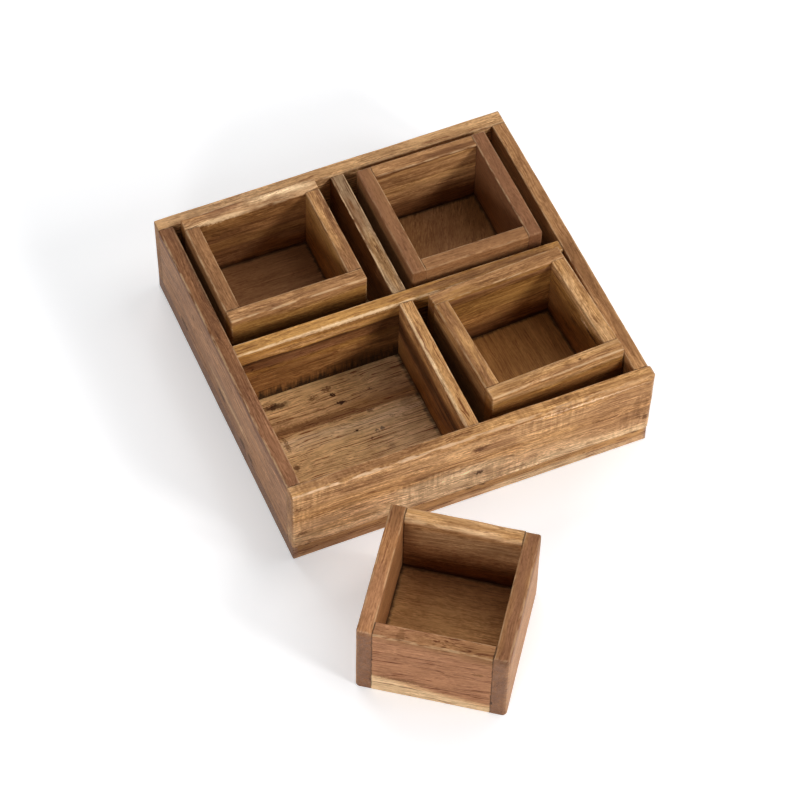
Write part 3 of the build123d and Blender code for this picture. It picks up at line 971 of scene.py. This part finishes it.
# %% The boxes' woods
BOX_WOODS = {
    # Its coffee mark is a painted shadow across the middle of its outer face, in the gap behind the long
    # divider.
    "back_left_box front": dict(
        bands="olive 0, olive 0.88, tan 0.94, tan 1",
        marks="0 4 4.2  90 6.5 1.5  0.6 coffee"),
    # Its umber marks at -13 23.6 -4.8 and -20 20 -3.9 are painted shade in the worn-away dip of the inner rim
    # and below it.
    "back_left_box back": dict(
        bands="chestnut 0.2, chestnut 0.32, umber 0.38, bark 0.5, umber 0.6, bark 0.75, bark 0.88, tan 0.93, "
              "tan 1",
        wander=3, streaks=0.3,
        marks="""
    20 24.3 -3.3  17 1.8 1.8  0.95 straw
    -27 24.6 0.5  13 3 5  0.95 wheat
    -18 24.6 1  26 2.2 3.4  0.9 straw
    4 24.6 -1.5  42 2 3  0.5 wheat
    -13 23.6 -4.8  15 3 3.6  0.8 umber
    14 24.6 1.8  14 2 2.2  0.7 russet
    -20 20 -3.9  20 4 2  0.6 umber
    """),
    # Its coffee mark is painted shade on the lower outer face, in the gap beside the tray's left wall.
    "back_left_box left": dict(
        bands="olive 0, tan 0.6, chestnut 0.94, chestnut 1", fibres=0.25,
        marks="0 -7 4.4  80 24 1.5  0.4 coffee"),
    "back_left_box right": dict(
        bands="amber 0, amber 0.7, olive 0.78, golden 0.88, chestnut 0.94, chestnut 1"),
    "back_left_box bottom": dict(
        bands="tan 0, chestnut 0.5, chestnut 1", streaks=0.12, fibres=0.2, lines=0.2, length=20),
    "back_right_box front": dict(bands="chestnut 0, chestnut 1", fibres=0.22, streaks=0.12, lines=0.2),
    "back_right_box back": dict(
        bands="umber 0, umber 0.36, tan 0.44, tan 0.54, golden 0.6, tan 0.7, tan 0.82, golden 0.88, "
              "umber 0.90, umber 0.94, tan 0.97, tan 1",
        wander=2, streaks=0.3, fibres=0.3),
    "back_right_box left": dict(
        bands="russet 0, chestnut 0.6, chestnut 0.85, russet 1", fibres=0.18, streaks=0.1, lines=0.2),
    "back_right_box right": dict(
        bands="chestnut 0, russet 0.8, russet 1", fibres=0.18, streaks=0.1, lines=0.2),
    "back_right_box bottom": dict(
        bands="bark 0, chestnut 0.5, bark 1", streaks=0.1, fibres=0.24, lean=25, length=5, lines=0.1),
    # Its two coffee marks at -24 and 26 are painted shadow across its outer face, cast by the tray's front
    # wall in the gap before it.
    "front_right_box front": dict(
        bands="amber 0, amber 0.8, olive 0.86, honey 0.92, golden 0.95, tan 1",
        marks="""
    14.6 24.6 0.4  0.9 0.9 0.9  1 coffee
    -24 6.6 4.2  34 6.5 1.5  0.6 coffee
    26 4.6 4.2  36 6.5 1.5  0.6 coffee
    """),
    "front_right_box back": dict(
        bands="umber 0.1, umber 0.24, amber 0.45, olive 0.6, olive 0.75, umber 0.8, chestnut 0.84, "
              "olive 0.88, tan 0.94, tan 1",
        streaks=0.3, wander=2, fibres=0.3),
    # Its coffee mark is painted shade on the lower outer face, in the gap beside the front divider.
    "front_right_box left": dict(
        bands="tan 0, tan 0.89, golden 0.92, chestnut 0.95, bark 1", fibres=0.25,
        marks="0 -7 4.4  80 24 1.5  0.7 coffee"),
    "front_right_box right": dict(
        bands="chestnut 0, olive 0.8, honey 0.91, golden 0.95, tan 1",
        marks="""
    -17 15 -3.9  6 1.2 3  0.9 coffee
    -9 16.5 -3.9  5 1.2 3  0.6 cream
    2 6 -3.9  3 1.6 3  0.6 coffee
    8 -6 -3.9  4 1.6 3  0.6 coffee
    """),
    "front_right_box bottom": dict(
        bands="amber 0, amber 0.8, umber 0.9, amber 1", streaks=0.2, fibres=0.15, pores=0.2),
    "loose_box front": dict(
        bands="straw 0.05, straw 0.2, wheat 0.24, rose 0.29, rose 0.7, rose 0.85, chestnut 1",
        tilt=0.24, wander=1.2, lean=-5, lines=0.8, streaks=0.12, fibres=0.2, pores=0.25,
        marks="""
    -16.5 24.5 1  2.4 3 4  0.6 umber
    23 8 3.8  3 1 2  0.7 umber
    -15 -11 3.8  16 1.2 2  0.6 umber
    """),
    # Its umber lower bands darken it towards the bottom as painted shade, and the umber mark at its left end
    # (31 8 -4) is a painted shadow of the left wall.
    "loose_box back": dict(
        bands="umber 0.2, umber 0.34, chestnut 0.5, hazel 0.66, hazel 0.76, tan 0.84, wheat 0.9, golden 0.95, "
              "honey 1",
        streaks=0.25, fibres=0.3, lean=4,
        marks="31 8 -4  11 22 3  0.5 umber"),
    # The umber mark over its inner face (0 -1 -4) is painted shade.
    "loose_box left": dict(
        bands="ginger 0, ginger 1", fibres=0.2, streaks=0.1,
        marks="""
    0 -1 -4  60 27 1.5  0.6 umber
    41 0 0  3.5 60 12  0.9 ash
    -34 24 0  14 5 7  0.7 umber
    18 24 0  26 5 7  0.6 rose
    """),
    "loose_box right": dict(
        bands="dune 0, dune 0.8, chestnut 0.92, russet 0.96, russet 1", fibres=0.18, streaks=0.1,
        marks="-41 0 0  3.5 60 12  0.9 ash"),
    "loose_box bottom": dict(
        bands="golden 0, golden 0.6, tan 1", fibres=0.2, streaks=0.1, pores=0.25, length=5),
}
print(len(BOX_WOODS), "boards in the boxes")

# %% The boxes' boards
# turn in degrees, stretch across and along, walls that run the whole way, how grey end grain is, how
# dark joints are, and edges unlike the usual ones
BOXES = {
    "back_left_box": dict(stretch=(1.0, 0.99), through=("front", "back")),
    "back_right_box": dict(through=("left", "right"), end_grain=0.25, edge=dict(wear_out=0.15)),
    "front_right_box": dict(turn=2.7, through=("front", "back")),
    "loose_box": dict(
        turn=-36.0, stretch=(1.03, 1.025), through=("left", "right"), joint=1.0,
        edge=dict(corner=2.4, rim_out=1.6, wear_out=0.35)),
}
BOTTOM_EDGES = edges(rim_out=0.1, rim_in=0.1, foot=0.1, corner=0.3, butt=0.1, wear_out=0, wear_in=0)
BOTTOM_THICKNESS = 8.0  # mm
# Grime at the edges of a box's bottom and the foot of its walls also paints the shade in those corners.
BOTTOM_REACH = 2.0  # mm that grime spreads on it
WALL_REACH = 4  # mm that it climbs the walls
ACROSS = ("back_right_box_bottom", "front_right_box_bottom")  # bottoms whose grain runs front to back
OWN_EDGES = {
    "loose_box_back_wall": dict(rim_in=2.2, uneven=0.25),
    "loose_box_left_wall": dict(corner=(1.4, 2.8)),
    "loose_box_right_wall": dict(corner=(2.6, 3.5), wear_out=0.25),
    "back_left_box_back_wall": dict(rim_in=2.8, uneven=0.45),
    "front_right_box_left_wall": dict(wear_out=0.3),
}


def bottom_grime_and_shade(points, size):
    """Grime and painted shade along all four edges of a box's bottom."""
    walls = [(axis, end * size[axis] / 2) for axis in (0, 1) for end in (-1, 1)]
    return floor_grime_and_shade_of(points, size, walls, BOTTOM_REACH)


def wall_grime_and_shade(points, size):
    """Grime and painted shade on the inside of a box's wall, darker towards the bottom board."""
    return grime_and_shade_of(points, size, BOTTOM_THICKNESS, (WALL_REACH, WALL_REACH), (-1,))


for seed, (board, wood) in enumerate(BOX_WOODS.items(), len(TRAY_WOODS) + 1):
    box, side = board.split()
    plan = BOXES[box]
    stance = dict(turn=plan.get("turn", 0.0), stretch=plan.get("stretch", (1.0, 1.0)), middle=box_middle(box))
    if side == "bottom":
        node = f"{box}_bottom"
        lie = "lying_across" if node in ACROSS else "lying"
        add_board(node, box, lie, wood, BOTTOM_EDGES, seed, bottom_grime_and_shade, **stance)
    else:
        node = f"{box}_{side}_wall"
        butted = {} if side in plan["through"] else BETWEEN
        edge_of = edges(**{**plan.get("edge", {}), **butted, **OWN_EDGES.get(node, {})})
        add_board(node, box, side, wood, edge_of, seed, wall_grime_and_shade, plan.get("end_grain", 0.7),
                  joint=plan.get("joint", 0.3), **stance)
print(seed, "boards in all")

# %% [markdown]
# The boards are pinned with beech dowels. None shows from outside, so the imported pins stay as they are
# and only get their wood.

# %% The pins
PIN_SIZE = (13.0, 3.0, 3.0)  # mm
PIN_SEED = 99
pin_wood = oiled_wood("beech_pins", PIN_SIZE, dict(bands="straw 0, honey 1"), PIN_SEED)
pins = [node for name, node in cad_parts.items() if name.endswith("pins")]
for node in pins:
    node.data.materials.clear()
    node.data.materials.append(pin_wood)
print(len(pins), "sets of pins")

# %% [markdown]
# ## The studio
#
# A white table inside soft light. The key light stands in front to the right, with a second one higher
# beside it, so the right walls throw a slanting shadow over the back walls inside the boxes. A low one
# at the front left lights the walls that face it. Large ones hang behind, to the right and above, and a
# weak one at the left lifts the shadow there.
#
# The camera sees a slightly brighter table than the light does, so the far parts of the table are white
# while the object still gets no more light from it than white paint gives.

# %% The table
TABLE_REACH = 6.0  # m
TABLE_DROP = 0.1 * MM  # clear of the slightly wavy undersides
TABLE_PAINT = "#E9E8E9"
TABLE_SHOWN = "#FCFBFC"  # the paint as the camera sees it
TABLE_GLOW = 0.30  # what the table shows besides its own light
GLOW_COLOUR = (0.94, 0.98, 1, 1)


def seen_by_camera(tree):
    """1 for what the camera sees, itself or in a reflection, and 0 for the light on other things."""
    ray = add(tree, "LightPath")
    return scalar(tree, "MAXIMUM", ray.outputs["Is Camera Ray"], ray.outputs["Is Glossy Ray"])


def add_table():
    """Adds the white table and returns its material."""
    mesh = bpy.data.meshes.new("table")
    corners = [(-1, -1), (1, -1), (1, 1), (-1, 1)]
    mesh.from_pydata([(x * TABLE_REACH, y * TABLE_REACH, 0) for x, y in corners], [], [(0, 1, 2, 3)])
    table = add_object("table", mesh)
    table.location.z = -TABLE_DROP
    material = bpy.data.materials.new("white_table")
    tree = empty_tree(material)
    paint = add(tree, "BsdfDiffuse", {"Color": linear(TABLE_PAINT)})
    shown_paint = add(tree, "BsdfDiffuse", {"Color": linear(TABLE_SHOWN)})
    glow = add(tree, "Emission", {"Color": GLOW_COLOUR, "Strength": TABLE_GLOW})
    shown = add(tree, "AddShader", {0: shown_paint.outputs[0], 1: glow.outputs[0]})
    mixed = add(tree, "MixShader", {0: seen_by_camera(tree), 1: paint.outputs[0], 2: shown.outputs[0]})
    add(tree, "OutputMaterial", {"Surface": mixed.outputs[0]})
    mesh.materials.append(material)
    return material


print("the table's material:", add_table().name)

# %% The lights
LIGHTS = {
    # name: (azimuth from the front and elevation in degrees, width and height in m, watts)
    "key": (30, 28, 0.30, 0.30, 8.7),
    "high_front_right": (50, 34, 0.35, 0.35, 5.1),
    "low_front_left": (-40, 20, 0.35, 0.35, 7.3),
    "low_left": (-80, 12, 0.35, 0.35, 1.9),
    "high_back": (180, 45, 1.0, 1.0, 9.4),
    "high_right": (90, 60, 1.0, 1.0, 5.65),
    "top": (0, 89, 1.2, 1.2, 2.65),
}
LIGHT_DISTANCE = 1.6  # m
LIGHT_AIM = Vector((0, -0.05, 0.03))  # middle of tray and loose box


def add_light(name, azimuth, elevation, width, height, watts):
    """Adds a rectangular light that faces the object."""
    data = bpy.data.lights.new(name, "AREA")
    data.shape = "RECTANGLE"
    data.size, data.size_y = width, height
    data.energy = watts
    light = add_object(name, data)
    light.location = LIGHT_DISTANCE * toward(azimuth, elevation)
    aim = LIGHT_AIM - light.location
    light.rotation_euler = aim.to_track_quat("-Z", "Y").to_euler()


for name, settings in LIGHTS.items():
    add_light(name, *settings)
print(len(LIGHTS), "lights,", round(sum(settings[-1] for settings in LIGHTS.values()), 1), "watts in all")

# %% The world
WORLD_LIGHT = 0.025  # strength of the even light from all around
WORLD_SHOWN = 1.0  # strength as the camera sees it: white


def add_world():
    """Adds a world that looks white but gives little light."""
    world = bpy.data.worlds.new("studio")
    tree = empty_tree(world)
    level = add(tree, "MapRange", {
        "Value": seen_by_camera(tree), "To Min": WORLD_LIGHT, "To Max": WORLD_SHOWN})
    light = add(tree, "Background", {"Color": linear("#FFFFFF"), "Strength": level.outputs[0]})
    add(tree, "OutputWorld", {"Surface": light.outputs[0]})
    bpy.context.scene.world = world


add_world()
bpy.context.scene.view_settings.view_transform = "Standard"
print("view transform:", bpy.context.scene.view_settings.view_transform)
